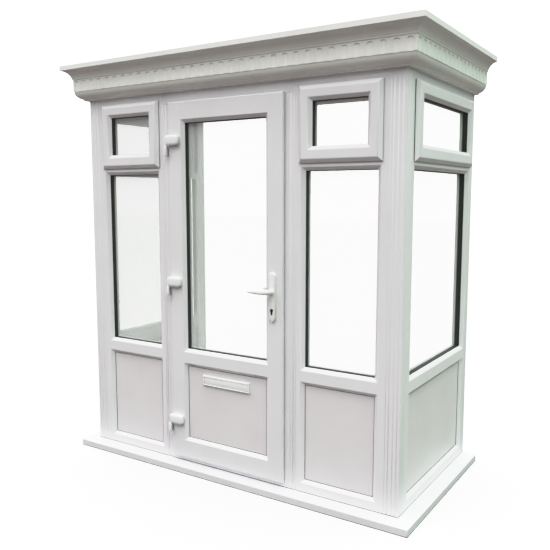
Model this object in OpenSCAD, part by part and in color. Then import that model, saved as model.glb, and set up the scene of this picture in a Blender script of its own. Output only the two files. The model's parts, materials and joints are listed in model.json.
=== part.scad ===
/* [Overall size] */
// Width between the outer faces of the two corner posts
width = 2000; // [1900:10:2600]
// Depth from the face of the front frames to the house wall
depth = 1000; // [700:10:1500]
// Height of the frames' top, on which the roof sits, above the ground
frame_top = 2130; // [2080:5:2300]

/* [Frames] */
// Thickness of every frame, sash and door leaf from front to back
section = 60; // [58:1:80]
// Width of the flat face of a fixed frame, up to the arris of its opening
stile = 45; // [35:1:60]
// Width of a corner post seen from the front
post_w = 74; // [50:1:110]
// Width of the jamb that is fixed to the house wall
wall_jamb_w = 23; // [15:1:50]
// Top of the midrail's lower edge above the ground
midrail_z = 622; // [450:1:900]
// Height of the midrail's flat face
midrail_h = 56; // [40:1:90]
// Height of the fixed panes' top edge above the ground
transom_z = 1692; // [1500:1:1750]
// Height of the strip of frame between a fixed pane and its vent
transom_h = 28; // [20:1:40]
// Height of the frame's head above a vent's opening
head_h = 65; // [50:1:90]
// Width of the sloping face around each pane and panel
slope_w = 18; // [8:1:20]
// How far the panes and panels are set back behind the face that holds them
glass_set = 18; // [16:1:24]
// Thickness of the sealed glass units and of the infill panels
glass_t = 28; // [20:1:32]
// Height of the beads that hold the panes and panels from inside
bead_w = 20; // [12:1:24]

/* [Vents] */
// How far the vents and the door stand forward of the frames
proud = 22; // [20:1:30]
// How far a vent's flange laps over the frame around it
vent_lap = 10; // [6:1:12]
// Width of a vent's flat face, from its edge to the arris of its opening
vent_face = 56; // [45:1:70]
// Extra height of a vent's bottom rail
vent_foot = 4; // [0:1:15]
// Width of the broad bevel along a vent's outer edges
vent_bevel_w = 19; // [5:1:24]
// Depth of that bevel from front to back
vent_bevel_d = 14; // [4:1:15]
// Thickness of the rubber seal between a vent's flange and the frame
seal_t = 3; // [1:0.5:4]

/* [Door] */
// Width of the door leaf
leaf_w = 740; // [700:5:900]
// Distance from the leaf's edge to the arris of the sidelight's opening
jamb_face = 93; // [80:1:110]
// Height of the leaf's bottom edge above the ground
leaf_z = 68; // [64:1:95]
// Distance from the leaf's top edge up to the top of the frames
leaf_drop = 73; // [65:1:110]
// Width of the leaf's stiles, up to the arris of the openings
leaf_stile = 89; // [80:1:115]
// Height of the leaf's top rail
leaf_head = 95; // [80:1:115]
// Height of the leaf's bottom rail
leaf_foot = 104; // [80:1:130]
// Height of the door's midrail
leaf_midrail = 62; // [50:1:90]
// How far the leaf's flange laps over the frame around it
leaf_lap = 6; // [3:1:8]
// Gap between the leaf and the frame's face
leaf_gap = 5; // [5:0.5:8]
// Gap around the leaf inside the frame's opening
leaf_play = 9.5; // [9.5:0.5:11]
// Bevel along the outer edges of the leaf
bevel = 5; // [2:0.5:8]

/* [Hinges] */
// Distance of the hinge pins' axis beyond the leaf's edge
pin_out = 4; // [2:0.5:6]
// Distance of the hinge pins' axis in front of the leaf's face
pin_front = 18; // [15:0.5:20]
// Radius of the hinge pins
pin_r = 5; // [4:0.5:6]
// Radial clearance of each pin in its barrel
pin_play = 0.05; // [0.02:0.01:0.1]
// Outer radius of the hinge barrels
barrel_r = 8; // [8:0.5:10]
// Height of each barrel
barrel_h = 46; // [40:1:70]
// Length of the arm that holds each barrel on the leaf
hinge_arm = 90; // [60:1:92]
// Height of the knuckle below each barrel
knuckle_h = 50; // [35:1:60]
// Height of the lowest hinge's middle above the leaf's bottom edge
hinge_foot = 216; // [120:1:260]
// Distance of the highest hinge's middle below the leaf's top edge
hinge_head = 210; // [120:1:260]
// How far the middle hinge sits above the midpoint of the other two
hinge_mid_up = 7; // [0:1:40]

/* [Handle] */
// Distance of the handle from the leaf's latch edge
handle_in = 58; // [50:1:62]
// Height of the lever's pivot above the ground
lever_z = 1070; // [950:1:1150]
// Distance from the lever's pivot down to the key cylinder
key_drop = 95; // [70:1:100]
// Width of the backplates
plate_w = 42; // [34:1:44]
// Height of the backplates
plate_h = 258; // [220:1:280]
// Thickness of the backplates
plate_t = 12; // [6:1:12]
// Length of the lever from its pivot to its tip
lever_l = 135; // [110:1:150]
// How much lower the lever's tip is than its pivot
lever_droop = 7; // [0:1:15]
// Distance of the lever's arm from the backplate
lever_off = 26; // [20:1:35]

/* [Letterplate] */
// Length of the letterplate
letter_w = 312; // [250:1:340]
// Height of the letterplate
letter_h = 56; // [50:1:80]
// Width of the letterplate's rim at its ends and foot
letter_rim = 7; // [6:1:12]
// Width of the letterplate's rim above the flap
letter_top_rim = 9; // [7:1:14]
// Height of the letterplate's centre above the ground
letter_z = 538; // [300:1:580]
// Gap around the flap inside the rim
flap_gap = 2; // [1:0.5:3]

/* [Cill] */
// How far the cill projects from the frames
cill_out = 78; // [40:1:120]
// Height of the cill's front edge
cill_nose = 38; // [20:1:40]
// Height of the cill where the frames stand on it
cill_h = 42; // [30:1:60]

/* [Roof] */
// How far the cornice's top lip projects from the frames
lip_out = 119; // [90:1:150]
// Height of the top lip
lip_h = 26; // [20:1:40]
// Height of the hollow moulding below the lip, which it also projects
cove_h = 52; // [35:1:53]
// Radius of the hollow moulding's curve
cove_r = 120; // [60:5:200]
// How far the fluted band projects from the frames
band_out = 66; // [50:1:80]
// Height of the fluted band
band_h = 72; // [60:1:100]
// Height of the fluted band's lower edge above the frames' top
band_up = 30; // [20:1:40]
// Radius of the rounded moulding below the band
round_r = 60; // [50:1:64]
// How far the cornice hangs below the frames' top
cornice_drop = 18; // [10:1:20]
// Depth of cornice that rests on the frames' top
cornice_seat = 40; // [30:1:45]
// Spacing of the flutes, to which their number is rounded
flute_pitch = 62.5; // [60:0.5:90]
// Width of a flute
flute_w = 32; // [24:1:45]
// Depth of a flute
flute_d = 6; // [4:1:12]

/* [Hidden] */
$fn = 64;
cut = 1;

plastic = "#f4f4f6";
pane = "#dfe9ee";
rubber = "#303030";
metal = "#c9ccd0";

half_w = width / 2;
// The row's origin is below the middle of the whole, so the front face lies this far before it
mid_y = (depth - lip_out) / 2;

// Sidelight openings on the front wall, from the door side to the corner
leaf_x = leaf_w / 2;
light_x0 = leaf_x + jamb_face;
light_x1 = half_w - post_w - stile;
// The same openings on a side wall, from the corner to the house
side_y0 = section + stile;
side_y1 = depth - wall_jamb_w - stile;
frame_y1 = depth - wall_jamb_w;
rail_z = cill_h + stile;
pane_z0 = midrail_z + midrail_h;
vent_z0 = transom_z + transom_h;
vent_z1 = frame_top - head_h;

// Door leaf: the flange laps over the frame, and the core stands inside its opening
leaf_top = frame_top - leaf_drop;
door_x = leaf_x - leaf_lap;
core_x = door_x - leaf_play;
door_z0 = leaf_z + leaf_lap;
door_z1 = leaf_top - leaf_lap;
core_z0 = door_z0 + leaf_play;
core_z1 = door_z1 - leaf_play;
leaf_in_x = leaf_x - leaf_stile;
leaf_panel_z0 = leaf_z + leaf_foot;
leaf_panel_z1 = midrail_z + 1;
leaf_pane_z0 = leaf_panel_z1 + leaf_midrail;
leaf_pane_z1 = leaf_top - leaf_head;
door_frame_x = light_x0 - stile;

glass_edge = 3;
bead_d = section - glass_set - glass_t;
lap_t = 2;
// Gap around a vent's core, and how far its seal lies inside the flange's edge
vent_play = 4;
seal_in = 1;

pin_x = -leaf_x - pin_out;
pin_y = -proud - pin_front;
hinge_low = leaf_z + hinge_foot;
hinge_high = leaf_top - hinge_head;
hinge_zs = [hinge_low, (hinge_low + hinge_high) / 2 + hinge_mid_up, hinge_high];
// The knuckle's web passes the leaf's edge at this distance
web_clear = 6;
web_x = -leaf_x - web_clear;
web_t = 14;
flag_w = 32;
flag_gap = 0.5;
arm_t = 8;

handle_x = leaf_x - handle_in;
key_z = lever_z - key_drop;
plate_mid = lever_z - 30;
spindle_s = 8;
neck_r = 9;
neck_play = 0.5;
lever_t = 14;
lever_r = 11;
lever_tip_r = 7;
key_r = 8.5;
key_slot = 10;
key_reach = 24;
key_proud = 3;

letter_t = 10;
inner_letter_t = 6;
flap_t = 4;
// The letterplate's opening, and the flap that hangs in it
slot_x = letter_w / 2 - letter_rim;
slot_z0 = letter_z - letter_h / 2 + letter_rim;
slot_z1 = letter_z + letter_h / 2 - letter_top_rim;
flap_x = slot_x - flap_gap;
flap_z0 = slot_z0 + flap_gap;
flap_z1 = slot_z1 - flap_gap;
flap_pin_r = 1.5;
flap_pin_reach = 5;
flap_end_play = 0.5;
flap_pin_z = flap_z1 - 2.5;
// The infill panel's face, and the middle of the letterplate's thickness before it
letter_y = glass_set - proud;
flap_pin_y = letter_y - letter_t / 2;

screw_r = 4;
screw_zs = [250, 780, 1310, 1840];

roof_z = frame_top + band_up + band_h + cove_h + lip_h;
lip_rim = 24;
deck_t = 12;
deck_low = 6;
deck_z = roof_z - deck_low - deck_t;
ceiling_t = 10;
joint_gap = 1;
flute_r = (pow(flute_w / 2, 2) + pow(flute_d, 2)) / (2 * flute_d);
flute_top = 26;
reed_r = 3;
reed_d = 1.5;

module at_row() translate([0, -mid_y, 0]) children();

// Turns a wall drawn in the front's plane on to the right-hand side, or on to the left-hand one
module on_right() translate([half_w, 0, 0]) rotate([0, 0, 90]) children();
module on_left() mirror([1, 0, 0]) on_right() children();
module both_sides() {
    children();
    mirror([1, 0, 0]) children();
}

module block(x0, x1, y0, y1, z0, z1) translate([x0, y0, z0]) cube([x1 - x0, y1 - y0, z1 - z0]);

// A rectangle that is inset by s0 at y0 and by s1 at y1, with sloping sides between
module taper(x0, x1, z0, z1, y0, y1, s0, s1)
    polyhedron(
        points = [
            [x0 + s0, y0, z0 + s0], [x1 - s0, y0, z0 + s0],
            [x1 - s0, y0, z1 - s0], [x0 + s0, y0, z1 - s0],
            [x0 + s1, y1, z0 + s1], [x1 - s1, y1, z0 + s1],
            [x1 - s1, y1, z1 - s1], [x0 + s1, y1, z1 - s1]],
        faces = [[0, 3, 2, 1], [4, 5, 6, 7], [0, 1, 5, 4], [1, 2, 6, 5], [2, 3, 7, 6], [3, 0, 4, 7]]);

// The space taken out of a frame for one pane or panel: sloping mouth, lip and deep rebate
module light_space(x0, x1, z0, z1) {
    slope_d = glass_set - lap_t;
    rise = slope_w / slope_d;
    taper(x0, x1, z0, z1, -cut, slope_d, -cut * rise, slope_w);
    block(x0 + slope_w, x1 - slope_w, slope_d - cut, glass_set + cut, z0 + slope_w, z1 - slope_w);
    block(x0, x1, glass_set, section + cut, z0, z1);
}

module unit(x0, x1, z0, z1)
    block(x0 + glass_edge, x1 - glass_edge, glass_set, glass_set + glass_t, z0 + glass_edge, z1 - glass_edge);

module bead_ring(x0, x1, z0, z1) difference() {
    block(x0, x1, glass_set + glass_t, section, z0, z1);
    block(x0 + bead_w, x1 - bead_w, glass_set, section + cut, z0 + bead_w, z1 - bead_w);
}

// One glazed bay: welded frame with a low panel, a fixed pane and an opening for the vent
module bay_frame(x0, x1, in0, in1) difference() {
    block(x0, x1, 0, section, cill_h, frame_top);
    light_space(in0, in1, rail_z, midrail_z);
    light_space(in0, in1, pane_z0, transom_z);
    block(in0, in1, -cut, section + cut, vent_z0, vent_z1);
}

// The vent's flange is bevelled and laps over the frame; its core stands inside the opening
module vent(in0, in1) {
    x0 = in0 - vent_lap;
    x1 = in1 + vent_lap;
    z0 = vent_z0 - vent_lap;
    z1 = vent_z1 + vent_lap;
    translate([0, -proud, 0]) difference() {
        union() {
            taper(x0, x1, z0, z1, 0, vent_bevel_d, vent_bevel_w, 0);
            block(x0, x1, vent_bevel_d, proud - seal_t, z0, z1);
            block(in0 + vent_play, in1 - vent_play, proud - seal_t - cut, section,
                vent_z0 + vent_play, vent_z1 - vent_play);
        }
        light_space(x0 + vent_face, x1 - vent_face, z0 + vent_face + vent_foot, z1 - vent_face);
    }
}

module vent_seal(in0, in1) difference() {
    edge = vent_lap - seal_in;
    block(in0 - edge, in1 + edge, -seal_t, 0, vent_z0 - edge, vent_z1 + edge);
    block(in0, in1, -seal_t - cut, cut, vent_z0, vent_z1);
}

module vent_glass(in0, in1) translate([0, -proud, 0])
    unit(in0 - vent_lap + vent_face, in1 + vent_lap - vent_face,
        vent_z0 - vent_lap + vent_face + vent_foot, vent_z1 + vent_lap - vent_face);

module vent_bead(in0, in1) translate([0, -proud, 0])
    bead_ring(in0 - vent_lap + vent_face, in1 + vent_lap - vent_face,
        vent_z0 - vent_lap + vent_face + vent_foot, vent_z1 + vent_lap - vent_face);

module bay_glass(in0, in1) {
    unit(in0, in1, pane_z0, transom_z);
    vent_glass(in0, in1);
}

module bay_beads(in0, in1) {
    bead_ring(in0, in1, rail_z, midrail_z);
    bead_ring(in0, in1, pane_z0, transom_z);
    vent_bead(in0, in1);
}

module cill_profile() polygon([
    [-section, 0], [cill_out, 0], [cill_out, cill_nose], [0, cill_h], [-section, cill_h]]);

// Plan of the front length of a band that runs round the corners, mitred at both ends
module front_plan(outer, inner) polygon([
    [-half_w - outer, -outer], [half_w + outer, -outer], [half_w - inner, inner], [-half_w + inner, inner]]);

// Plan of the right-hand length, mitred at the corner and square at the house
module side_plan(outer, inner) polygon([
    [half_w + outer, -outer], [half_w + outer, depth], [half_w - inner, depth], [half_w - inner, inner]]);

// Sweeps the profile drawn as (outwards, up) along the front wall, or along the right-hand one
module along_front(outer) rotate([90, 0, -90])
    translate([0, 0, -half_w - outer]) linear_extrude(width + 2 * outer) children();
module along_right(outer) translate([half_w, depth, 0])
    rotate([90, 0, 0]) linear_extrude(depth + outer) children();

module cill_run_front() intersection() {
    along_front(cill_out) cill_profile();
    linear_extrude(cill_h) front_plan(cill_out, section);
}

module cill_run_right() intersection() {
    along_right(cill_out) cill_profile();
    linear_extrude(cill_h) side_plan(cill_out, section);
}

module cornice_profile() {
    foot = frame_top - cornice_drop;
    frieze = frame_top + band_up;
    lip = frieze + band_h + cove_h;
    // The hollow's curve runs from the band's top to the lip's underside
    cove_away = sqrt((pow(cove_r, 2) - pow(cove_h, 2) / 2) / 2);
    difference() {
        union() {
            translate([-cornice_seat, lip]) square([lip_out + cornice_seat, lip_h]);
            translate([-cornice_seat, frame_top]) square([band_out + cornice_seat, lip - frame_top]);
            translate([0, foot]) square([band_out, frieze - foot]);
            translate([band_out - cut, frieze + band_h]) square([cove_h + cut, cove_h]);
        }
        translate([band_out, frieze + band_h]) intersection() {
            translate([cove_h / 2 + cove_away, cove_h / 2 - cove_away]) circle(cove_r, $fn = 3 * $fn);
            square(cove_h + cut);
        }
        // The round below the band is what is left beside this corner
        difference() {
            translate([band_out - round_r, foot - cut]) square([round_r + cut, frieze - foot + cut]);
            translate([band_out - round_r, foot + round_r]) circle(round_r);
        }
        translate([-cornice_seat - cut, deck_z]) square([lip_out - lip_rim + cornice_seat + cut, lip_h]);
    }
}

// A round-headed hollow that stands upright in the band, its foot open
module flute() translate([0, 0, frame_top + band_up]) {
    cylinder(r = flute_r, h = band_h - flute_top);
    translate([0, 0, band_h - flute_top]) sphere(flute_r);
}

module cornice_run_front() {
    run = width + 2 * band_out;
    count = round(run / flute_pitch);
    step = run / count;
    difference() {
        intersection() {
            along_front(lip_out) cornice_profile();
            linear_extrude(roof_z) front_plan(lip_out, cornice_seat);
        }
        for (i = [0 : count - 1])
            translate([(i + 0.5) * step - run / 2, -band_out - flute_r + flute_d, 0]) flute();
    }
}

module cornice_run_right() {
    run = depth + band_out;
    count = round(run / flute_pitch);
    step = run / count;
    difference() {
        intersection() {
            along_right(lip_out) cornice_profile();
            linear_extrude(roof_z) side_plan(lip_out, cornice_seat);
        }
        for (i = [0 : count - 1])
            translate([half_w + band_out + flute_r - flute_d, (i + 0.5) * step - band_out, 0]) flute();
    }
}

module cill_front() color(plastic) at_row() cill_run_front();
module cill_left() color(plastic) at_row() mirror([1, 0, 0]) cill_run_right();
module cill_right() color(plastic) at_row() cill_run_right();

// Corner post with upright reeds cut in both of its outer faces
module corner_post() difference() {
    block(half_w - post_w, half_w, 0, section, cill_h, frame_top);
    for (x = [16, 38, 59])
        translate([half_w - post_w + x, reed_d - reed_r, cill_h - cut])
            cylinder(r = reed_r, h = frame_top);
    for (y = [22, 41])
        translate([half_w - reed_d + reed_r, y, cill_h - cut])
            cylinder(r = reed_r, h = frame_top);
}
module corner_post_left() color(plastic) at_row() mirror([1, 0, 0]) corner_post();
module corner_post_right() color(plastic) at_row() corner_post();

module front_bay() bay_frame(door_frame_x, half_w - post_w, light_x0, light_x1);
module frame_front_left() color(plastic) at_row() mirror([1, 0, 0]) front_bay();
module frame_front_right() color(plastic) at_row() front_bay();

module side_bay() bay_frame(section, frame_y1, side_y0, side_y1);
module frame_side_left() color(plastic) at_row() on_left() side_bay();
module frame_side_right() color(plastic) at_row() on_right() side_bay();

// Jambs on the house wall, drilled for the screws that hold the porch there
module wall_jambs() color(plastic) at_row() both_sides() difference() {
    block(half_w - section, half_w, frame_y1, depth, cill_h, frame_top);
    for (z = screw_zs)
        translate([half_w - section / 2, frame_y1 - cut, z])
            rotate([-90, 0, 0]) cylinder(r = screw_r, h = wall_jamb_w + 2 * cut);
}

module door_jamb() difference() {
    block(door_x, door_frame_x, 0, section, door_z0, door_z1);
    translate([door_frame_x - 14, reed_d - reed_r, door_z0 - cut])
        cylinder(r = reed_r, h = door_z1 - door_z0 + 2 * cut);
}
module door_jamb_left() color(plastic) at_row() mirror([1, 0, 0]) door_jamb();
module door_jamb_right() color(plastic) at_row() door_jamb();
module door_head() color(plastic) at_row()
    block(-door_frame_x, door_frame_x, 0, section, door_z1, frame_top);
module door_threshold() color(plastic) at_row()
    block(-door_frame_x, door_frame_x, 0, section, cill_h, door_z0);

module vent_front_left() color(plastic) at_row() mirror([1, 0, 0]) vent(light_x0, light_x1);
module vent_front_right() color(plastic) at_row() vent(light_x0, light_x1);
module vent_side_left() color(plastic) at_row() on_left() vent(side_y0, side_y1);
module vent_side_right() color(plastic) at_row() on_right() vent(side_y0, side_y1);

module vent_seals() color(rubber) at_row() {
    both_sides() vent_seal(light_x0, light_x1);
    on_left() vent_seal(side_y0, side_y1);
    on_right() vent_seal(side_y0, side_y1);
}

module glass_front() color(pane) at_row() both_sides() bay_glass(light_x0, light_x1);
module glass_side_left() color(pane) at_row() on_left() bay_glass(side_y0, side_y1);
module glass_side_right() color(pane) at_row() on_right() bay_glass(side_y0, side_y1);

module panels_front() color(plastic) at_row() both_sides() unit(light_x0, light_x1, rail_z, midrail_z);
module panel_side_left() color(plastic) at_row() on_left() unit(side_y0, side_y1, rail_z, midrail_z);
module panel_side_right() color(plastic) at_row() on_right() unit(side_y0, side_y1, rail_z, midrail_z);

module beads_front() color(plastic) at_row() both_sides() bay_beads(light_x0, light_x1);
module beads_side_left() color(plastic) at_row() on_left() bay_beads(side_y0, side_y1);
module beads_side_right() color(plastic) at_row() on_right() bay_beads(side_y0, side_y1);

module cornice_front() color(plastic) at_row() cornice_run_front();
module cornice_left() color(plastic) at_row() mirror([1, 0, 0]) cornice_run_right();
module cornice_right() color(plastic) at_row() cornice_run_right();

module roof_deck() color(plastic) at_row()
    block(-half_w - lip_out + lip_rim, half_w + lip_out - lip_rim, lip_rim - lip_out, depth,
        deck_z, deck_z + deck_t);
module ceiling() color(plastic) at_row()
    block(-half_w + cornice_seat + joint_gap, half_w - cornice_seat - joint_gap,
        cornice_seat + joint_gap, depth, frame_top, frame_top + ceiling_t);
// Timber on the house wall, between the ceiling and the roof deck
module wall_plate() color("tan") at_row()
    block(-half_w + cornice_seat + joint_gap, half_w - cornice_seat - joint_gap,
        depth - stile, depth, frame_top + ceiling_t, deck_z);

// Frame side of each hinge: the pin, the knuckle below the barrel and its flag on the jamb
module hinge_frame_parts() color(plastic) at_row() for (z = hinge_zs) {
    low = z - barrel_h / 2 - flag_gap - knuckle_h;
    translate([pin_x, pin_y, low]) cylinder(r = pin_r, h = knuckle_h + flag_gap + barrel_h - 2);
    translate([pin_x, pin_y, low]) cylinder(r = barrel_r, h = knuckle_h);
    block(web_x - web_t, web_x, pin_y, 0, low, low + knuckle_h);
    block(web_x - flag_w, web_x, -arm_t / 2, 0, low, low + knuckle_h);
}

// Door side of each hinge: the barrel that turns on the pin, and its arm on the leaf
module hinge_door_parts() color(plastic) at_row() for (z = hinge_zs) difference() {
    union() {
        translate([pin_x, pin_y, z - barrel_h / 2]) cylinder(r = barrel_r, h = barrel_h);
        block(pin_x, pin_x + hinge_arm, pin_y - arm_t, -proud, z - barrel_h / 2, z + barrel_h / 2);
    }
    translate([pin_x, pin_y, z - barrel_h / 2 - cut])
        cylinder(r = pin_r + pin_play, h = barrel_h - 1 + cut);
}

module key_shape(grow) {
    circle(key_r + grow);
    translate([-key_slot / 2 - grow, -key_reach - grow]) square([key_slot + 2 * grow, key_reach + grow]);
}

// Extrudes a shape drawn in the wall's plane from y0 inwards to y1
module through(y0, y1) translate([0, y1, 0]) rotate([90, 0, 0]) linear_extrude(y1 - y0) children();

module door_leaf() color(plastic) at_row() difference() {
    union() {
        translate([0, -proud, 0]) taper(-leaf_x, leaf_x, leaf_z, leaf_top, 0, bevel, bevel, 0);
        block(-leaf_x, leaf_x, bevel - proud, -leaf_gap, leaf_z, leaf_top);
        block(-core_x, core_x, -leaf_gap - cut, section - proud, core_z0, core_z1);
    }
    translate([0, -proud, 0]) {
        light_space(-leaf_in_x, leaf_in_x, leaf_panel_z0, leaf_panel_z1);
        light_space(-leaf_in_x, leaf_in_x, leaf_pane_z0, leaf_pane_z1);
    }
    translate([handle_x, 0, lever_z]) through(-proud - cut, section) circle(neck_r);
    translate([handle_x, 0, key_z]) through(-proud - cut, section) key_shape(1);
    block(core_x - 2, core_x + cut, 4, 22, lever_z - 850, lever_z + 850);
}
module door_glass() color(pane) at_row() translate([0, -proud, 0])
    unit(-leaf_in_x, leaf_in_x, leaf_pane_z0, leaf_pane_z1);
module door_panel() color(plastic) at_row() difference() {
    translate([0, -proud, 0]) unit(-leaf_in_x, leaf_in_x, leaf_panel_z0, leaf_panel_z1);
    block(-slot_x, slot_x, -section, section, slot_z0, slot_z1);
}
module door_beads() color(plastic) at_row() translate([0, -proud, 0]) {
    bead_ring(-leaf_in_x, leaf_in_x, leaf_panel_z0, leaf_panel_z1);
    bead_ring(-leaf_in_x, leaf_in_x, leaf_pane_z0, leaf_pane_z1);
}
module lock_strip() color(metal) at_row() block(core_x - 2, core_x, 5, 21, lever_z - 849, lever_z + 849);
module lock_cylinder() color(metal) at_row() translate([handle_x, 0, key_z])
    through(-proud - plate_t - key_proud, section - proud + plate_t + key_proud) key_shape(0);

module plate_shape() difference() {
    r = plate_w / 2;
    union() {
        translate([0, plate_mid + plate_h / 2 - r]) circle(r);
        translate([0, plate_mid - plate_h / 2 + r]) circle(r);
        translate([-r, plate_mid - plate_h / 2 + r]) square([plate_w, plate_h - plate_w]);
    }
    translate([0, lever_z]) circle(neck_r + neck_play);
    translate([0, key_z]) key_shape(0.3);
}
module handle_plates() color(plastic) at_row() translate([handle_x, 0, 0]) {
    through(-proud - plate_t, -proud) plate_shape();
    through(section - proud, section - proud + plate_t) plate_shape();
}

module lever_arm() hull() {
    circle(lever_r);
    translate([lever_tip_r - lever_l, -lever_droop]) circle(lever_tip_r);
}
module levers() color(plastic) at_row() translate([handle_x, 0, lever_z]) {
    front = -proud - plate_t;
    back = section - proud + plate_t;
    difference() {
        union() {
            through(front - lever_off, -proud + 2) circle(neck_r);
            through(front - lever_off - lever_t, front - lever_off) lever_arm();
        }
        block(-spindle_s / 2, spindle_s / 2, front, section, -spindle_s / 2, spindle_s / 2);
    }
    difference() {
        union() {
            through(section - proud - 2, back + lever_off) circle(neck_r);
            through(back + lever_off, back + lever_off + lever_t) lever_arm();
        }
        block(-spindle_s / 2, spindle_s / 2, 0, back, -spindle_s / 2, spindle_s / 2);
    }
}
module spindle() color(metal) at_row() translate([handle_x, 0, lever_z])
    block(-spindle_s / 2, spindle_s / 2, -proud - plate_t, section - proud + plate_t,
        -spindle_s / 2, spindle_s / 2);

module letter_rim_shape() difference() {
    translate([-letter_w / 2, letter_z - letter_h / 2]) square([letter_w, letter_h]);
    translate([-slot_x, slot_z0]) square([2 * slot_x, slot_z1 - slot_z0]);
}
module letterplates() color(plastic) at_row() {
    difference() {
        through(letter_y - letter_t, letter_y) letter_rim_shape();
        translate([-flap_x - flap_pin_reach - flap_end_play, flap_pin_y, flap_pin_z]) rotate([0, 90, 0])
            cylinder(r = flap_pin_r + pin_play, h = 2 * (flap_x + flap_pin_reach + flap_end_play));
    }
    through(letter_y + glass_t, letter_y + glass_t + inner_letter_t) letter_rim_shape();
}
module letter_flap() color(plastic) at_row() {
    block(-flap_x, flap_x, flap_pin_y - flap_t / 2, flap_pin_y + flap_t / 2, flap_z0, flap_z1);
    translate([-flap_x - flap_pin_reach, flap_pin_y, flap_pin_z]) rotate([0, 90, 0])
        cylinder(r = flap_pin_r, h = 2 * (flap_x + flap_pin_reach));
}

cill_front();
cill_left();
cill_right();
corner_post_left();
corner_post_right();
frame_front_left();
frame_front_right();
frame_side_left();
frame_side_right();
wall_jambs();
door_jamb_left();
door_jamb_right();
door_head();
door_threshold();
vent_front_left();
vent_front_right();
vent_side_left();
vent_side_right();
vent_seals();
glass_front();
glass_side_left();
glass_side_right();
panels_front();
panel_side_left();
panel_side_right();
beads_front();
beads_side_left();
beads_side_right();
cornice_front();
cornice_left();
cornice_right();
roof_deck();
ceiling();
wall_plate();
hinge_frame_parts();
hinge_door_parts();
door_leaf();
door_glass();
door_panel();
door_beads();
lock_strip();
lock_cylinder();
handle_plates();
levers();
spindle();
letterplates();
letter_flap();
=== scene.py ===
# %% [markdown]
# # A glazed entrance porch
# The drawing of the porch is already exact: every frame, pane, hinge and lever has its real size and place.
# What this lesson adds is what the eye looks for: rounded arrises that catch the light, sealed glass units with
# black spacer bars, a moulded cornice, a sculpted handle, and finishes that behave like plastic, rubber and glass.

# %% Load the drawn model
import json
import math
import bpy
import bmesh
from mathutils import Matrix, Vector


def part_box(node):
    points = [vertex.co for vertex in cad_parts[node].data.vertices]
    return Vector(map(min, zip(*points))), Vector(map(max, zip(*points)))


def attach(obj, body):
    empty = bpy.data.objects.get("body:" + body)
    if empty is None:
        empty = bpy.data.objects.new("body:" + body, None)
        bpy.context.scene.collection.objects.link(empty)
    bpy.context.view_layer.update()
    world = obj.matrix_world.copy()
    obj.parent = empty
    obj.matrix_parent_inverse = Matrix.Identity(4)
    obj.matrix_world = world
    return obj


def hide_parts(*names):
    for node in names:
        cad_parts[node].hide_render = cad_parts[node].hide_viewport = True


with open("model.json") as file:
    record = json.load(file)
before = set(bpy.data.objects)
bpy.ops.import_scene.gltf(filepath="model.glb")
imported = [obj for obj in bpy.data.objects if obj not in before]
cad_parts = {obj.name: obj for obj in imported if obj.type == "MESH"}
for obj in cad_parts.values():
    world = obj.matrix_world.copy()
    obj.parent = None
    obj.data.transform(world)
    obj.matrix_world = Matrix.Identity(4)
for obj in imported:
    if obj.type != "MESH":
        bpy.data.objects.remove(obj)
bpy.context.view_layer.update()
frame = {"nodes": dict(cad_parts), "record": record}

# %% [markdown]
# ## The camera
# A camera is a place, a direction and a lens. This one stands a little to the right of the porch at eye height,
# turned left and tilted down by a few degrees, with a lens a bit longer than a normal one. The turns are given in
# the order that a head makes them: first round the upright axis, then down.

# %% Place the camera
eye = Vector((2.1336, -3.2773, 1.5496))
turn_left, look_down = math.radians(32.716), math.radians(6.699)
camera = bpy.data.objects.new("camera", bpy.data.cameras.new("camera"))
camera.data.lens = 43.78
camera.data.sensor_width = 36
camera.location = eye
camera.rotation_euler = (math.pi / 2 - look_down, 0, turn_left)
bpy.context.collection.objects.link(camera)
bpy.context.scene.camera = camera
print("camera at", eye[:])

# %% [markdown]
# ## Daylight without a sun
# White plastic shows its shape only through soft differences in light. An overcast sky gives them: it is several
# times brighter overhead than near the horizon, so faces that look up are bright, walls are middling, and whatever
# hides under a moulding is in shade. The world shader gives that as a ramp on the height of each direction, with a
# touch of green from the right, where a garden would be. The backdrop that is seen directly is plain white. A
# curve does what a camera's own response does: it deepens the shade a little and rolls the brightest parts off.
# Each of its points gives the tone that is shown and the tone that was rendered.

# %% Make the sky
sky_strength, backdrop_strength = 3.4, 3
scene = bpy.context.scene
scene.view_settings.view_transform = "Standard"
scene.view_settings.use_curve_mapping = True
tones = scene.view_settings.curve_mapping
tones.white_level = (2, 2, 2)
for shown, point in ((0.05, 0.05), (0.13, 0.10), (0.225, 0.15), (0.332, 0.20), (0.51, 0.275), (0.68, 0.34),
                     (0.83, 0.45), (0.93, 0.60), (0.985, 0.80)):
    tones.curves[3].points.new(point, shown)
tones.update()
sky = bpy.data.worlds.new("overcast")
sky.use_nodes = True
scene.world = sky
nodes, links = sky.node_tree.nodes, sky.node_tree.links
light = nodes["Background"]
where = nodes.new("ShaderNodeTexCoord")
parts = nodes.new("ShaderNodeSeparateXYZ")
links.new(where.outputs["Generated"], parts.inputs[0])


def ramp(source, stops):
    """A colour ramp with the given (position, colour) stops."""
    made = nodes.new("ShaderNodeValToRGB")
    while len(made.color_ramp.elements) < len(stops):
        made.color_ramp.elements.new(0.5)
    for element, (position, colour) in zip(made.color_ramp.elements, stops):
        element.position, element.color = position, (*colour, 1)
    links.new(source, made.inputs["Fac"])
    return made.outputs["Color"]


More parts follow.
